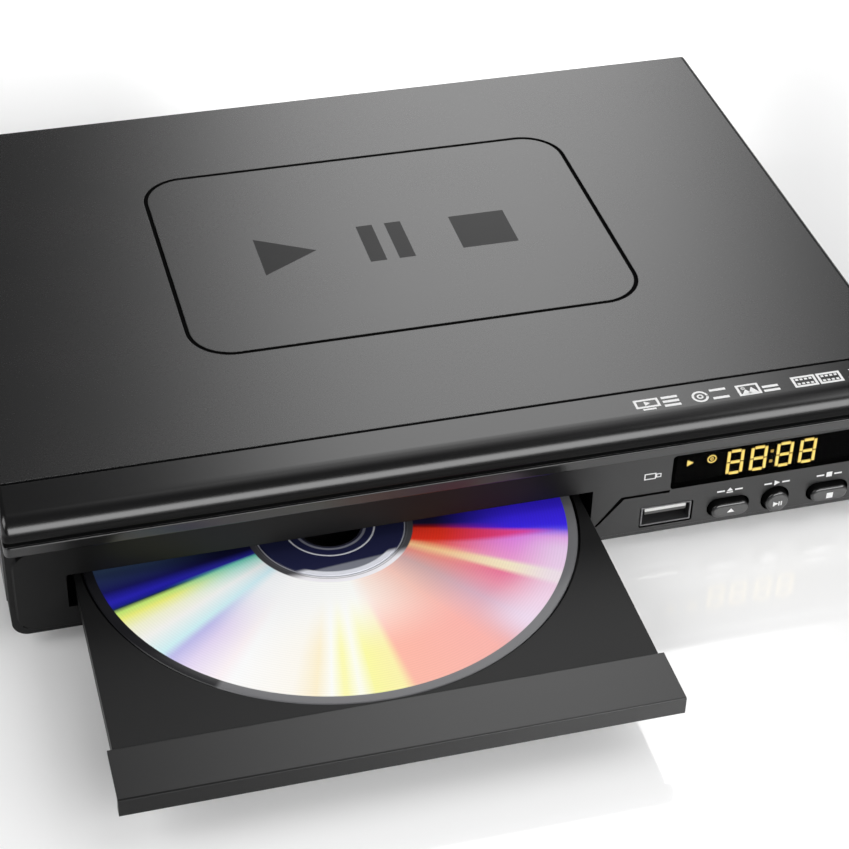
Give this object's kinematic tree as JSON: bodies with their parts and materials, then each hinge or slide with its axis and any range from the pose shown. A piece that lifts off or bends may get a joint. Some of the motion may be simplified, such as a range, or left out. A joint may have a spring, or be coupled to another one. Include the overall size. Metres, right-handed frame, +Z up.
{
  "type": "disc player",
  "caption": "Low rectangular disc player with a motor-driven tray part way out that holds a disc, a bullnosed front panel, a clock display, push buttons and rear sockets.",
  "frame": {"origin": "on the table, under the middle of the case, between the four feet", "axes": "+X to the right of someone facing the front, +Y from the front panel to the rear sockets, +Z up"},
  "size_m": [0.2288, 0.2431, 0.04],
  "materials": {
    "cover_paint": "satin dark grey, fine powder grain",
    "pan_paint": "satin black",
    "foot_rubber": "matte",
    "screw_steel": "zinc plated",
    "panel_plastic": "satin gloss",
    "window_acrylic": "smoked, polished",
    "module_black": "matte",
    "digit_amber": "glowing",
    "board_laminate": "solder-masked laminate",
    "switch_plastic": "matte",
    "button_plastic": "gloss",
    "socket_steel": "nickel plated",
    "tongue_plastic": "matte",
    "tray_plastic": "fine matte grain",
    "door_plastic": "satin",
    "disc_polycarbonate": "mirrored, with rainbow sheen",
    "gear_nylon": "natural nylon",
    "belt_rubber": "matte",
    "motor_steel": "plated can",
    "chassis_plastic": "moulded, matte",
    "deck_steel": "zinc plated",
    "rod_chrome": "ground and polished",
    "lens_glass": "coated",
    "ferrite": "matte",
    "winding_tape": "tape",
    "can_aluminium": "sleeved can",
    "sink_aluminium": "extruded",
    "fuse_glass": "clear",
    "header_plastic": "moulded",
    "ribbon_grey": "flat cable",
    "lead_insulation": "insulated wire",
    "jack_black": "moulded",
    "jack_nickel": "nickel plated",
    "jack_yellow": "moulded",
    "jack_white": "moulded",
    "jack_red": "moulded"
  },
  "bodies": {
    "case": {"top_cover": "cover_paint", "base_pan": "pan_paint", "feet": "foot_rubber", "screws": "screw_steel", "front_panel": "panel_plastic", "display_window": "window_acrylic", "display_module": "module_black", "ir_receiver": "module_black", "display_digits": "digit_amber", "front_board": "board_laminate", "power_board": "board_laminate", "main_board": "board_laminate", "tact_switches": "switch_plastic", "decoder_chip": "switch_plastic", "usb_shell": "socket_steel", "hdmi_shell": "socket_steel", "usb_tongue": "tongue_plastic", "hdmi_tongue": "tongue_plastic", "drive_belt": "belt_rubber", "loading_motor": "motor_steel", "loader_frame": "chassis_plastic", "clamp_bridge": "chassis_plastic", "deck_posts": "deck_steel", "transformer_core": "ferrite", "transformer_winding": "winding_tape", "supply_capacitors": "can_aluminium", "main_capacitors": "can_aluminium", "heat_sink": "sink_aluminium", "fuse": "fuse_glass", "wire_headers": "header_plastic", "ribbon_cable": "ribbon_grey", "mains_leads": "lead_insulation", "jack_block": "jack_black", "mains_inlet": "jack_black", "jack_barrels": "jack_nickel", "inlet_pins": "jack_nickel", "jack_core_yellow": "jack_yellow", "jack_core_white": "jack_white", "jack_core_red": "jack_red"},
    "tray": {"tray": "tray_plastic", "tray_rack": "tray_plastic", "tray_door": "door_plastic"},
    "disc": {"disc": "disc_polycarbonate"},
    "tray_gear": {"tray_gear": "gear_nylon"},
    "drive_gear": {"drive_gear": "gear_nylon"},
    "motor_pulley": {"motor_pulley": "gear_nylon"},
    "deck": {"deck_plate": "deck_steel", "deck_grommets": "belt_rubber", "guide_rods": "rod_chrome", "spindle_motor": "motor_steel", "sled_motor": "motor_steel"},
    "turntable": {"turntable": "chassis_plastic"},
    "pickup": {"pickup_sled": "chassis_plastic", "objective_lens": "lens_glass"},
    "lead_screw": {"lead_screw": "rod_chrome"},
    "clamp_puck": {"clamp_puck": "chassis_plastic"},
    "open_button": {"open_button": "button_plastic"},
    "play_button": {"play_button": "button_plastic"},
    "stop_button": {"stop_button": "button_plastic"},
    "power_button": {"power_button": "button_plastic"}
  },
  "joints": [
    {"name": "tray_slide", "type": "slide", "parent": "case", "child": "tray", "axis": [0, -1, 0], "range_m": [-0.0681, 0.058]},
    {"name": "disc_spin", "type": "hinge", "parent": "tray", "child": "disc", "pos_m": [-0.0354, -0.0754, 0.0158], "axis": [0, 0, 1], "continuous": true},
    {"name": "tray_gear_spin", "type": "hinge", "parent": "case", "child": "tray_gear", "pos_m": [0.0146, -0.0595, 0.0095], "axis": [0, 0, 1], "range_deg": [-703, 823]},
    {"name": "drive_gear_spin", "type": "hinge", "parent": "case", "child": "drive_gear", "pos_m": [0.0334, -0.0595, 0.0095], "axis": [0, 0, 1], "range_deg": [-2681, 2286]},
    {"name": "motor_pulley_spin", "type": "hinge", "parent": "case", "child": "motor_pulley", "pos_m": [0.0424, -0.0415, 0.0194], "axis": [0, 0, 1], "range_deg": [-6104, 5203]},
    {"name": "deck_lift", "type": "slide", "parent": "case", "child": "deck", "axis": [0, 0, 1], "range_m": [0, 0.0052]},
    {"name": "turntable_spin", "type": "hinge", "parent": "deck", "child": "turntable", "pos_m": [-0.0354, -0.0073, 0.009], "axis": [0, 0, 1], "continuous": true},
    {"name": "pickup_slide", "type": "slide", "parent": "deck", "child": "pickup", "axis": [0, 1, 0], "range_m": [0, 0.033]},
    {"name": "lead_screw_spin", "type": "hinge", "parent": "deck", "child": "lead_screw", "pos_m": [-0.0212, 0.01, 0.0082], "axis": [0, 1, 0], "range_deg": [-20, 3981]},
    {"name": "clamp_spin", "type": "hinge", "parent": "case", "child": "clamp_puck", "pos_m": [-0.0354, -0.0073, 0.0213], "axis": [0, 0, 1], "continuous": true},
    {"name": "open_press", "type": "slide", "parent": "case", "child": "open_button", "axis": [0, 1, 0], "range_m": [0, 0.0006], "stiffness_N_per_m": 300},
    {"name": "play_press", "type": "slide", "parent": "case", "child": "play_button", "axis": [0, 1, 0], "range_m": [0, 0.0006], "stiffness_N_per_m": 300},
    {"name": "stop_press", "type": "slide", "parent": "case", "child": "stop_button", "axis": [0, 1, 0], "range_m": [0, 0.0006], "stiffness_N_per_m": 300},
    {"name": "power_press", "type": "slide", "parent": "case", "child": "power_button", "axis": [0, 1, 0], "range_m": [0, 0.0006], "stiffness_N_per_m": 300}
  ],
  "couplings": [
    {"joint": "tray_gear_spin", "follows": "tray_slide", "rad_per_m": -208.33},
    {"joint": "drive_gear_spin", "follows": "tray_slide", "rad_per_m": 681.82},
    {"joint": "motor_pulley_spin", "follows": "tray_slide", "rad_per_m": 1556.6},
    {"joint": "lead_screw_spin", "follows": "pickup_slide", "rad_per_m": 2094.4}
  ]
}
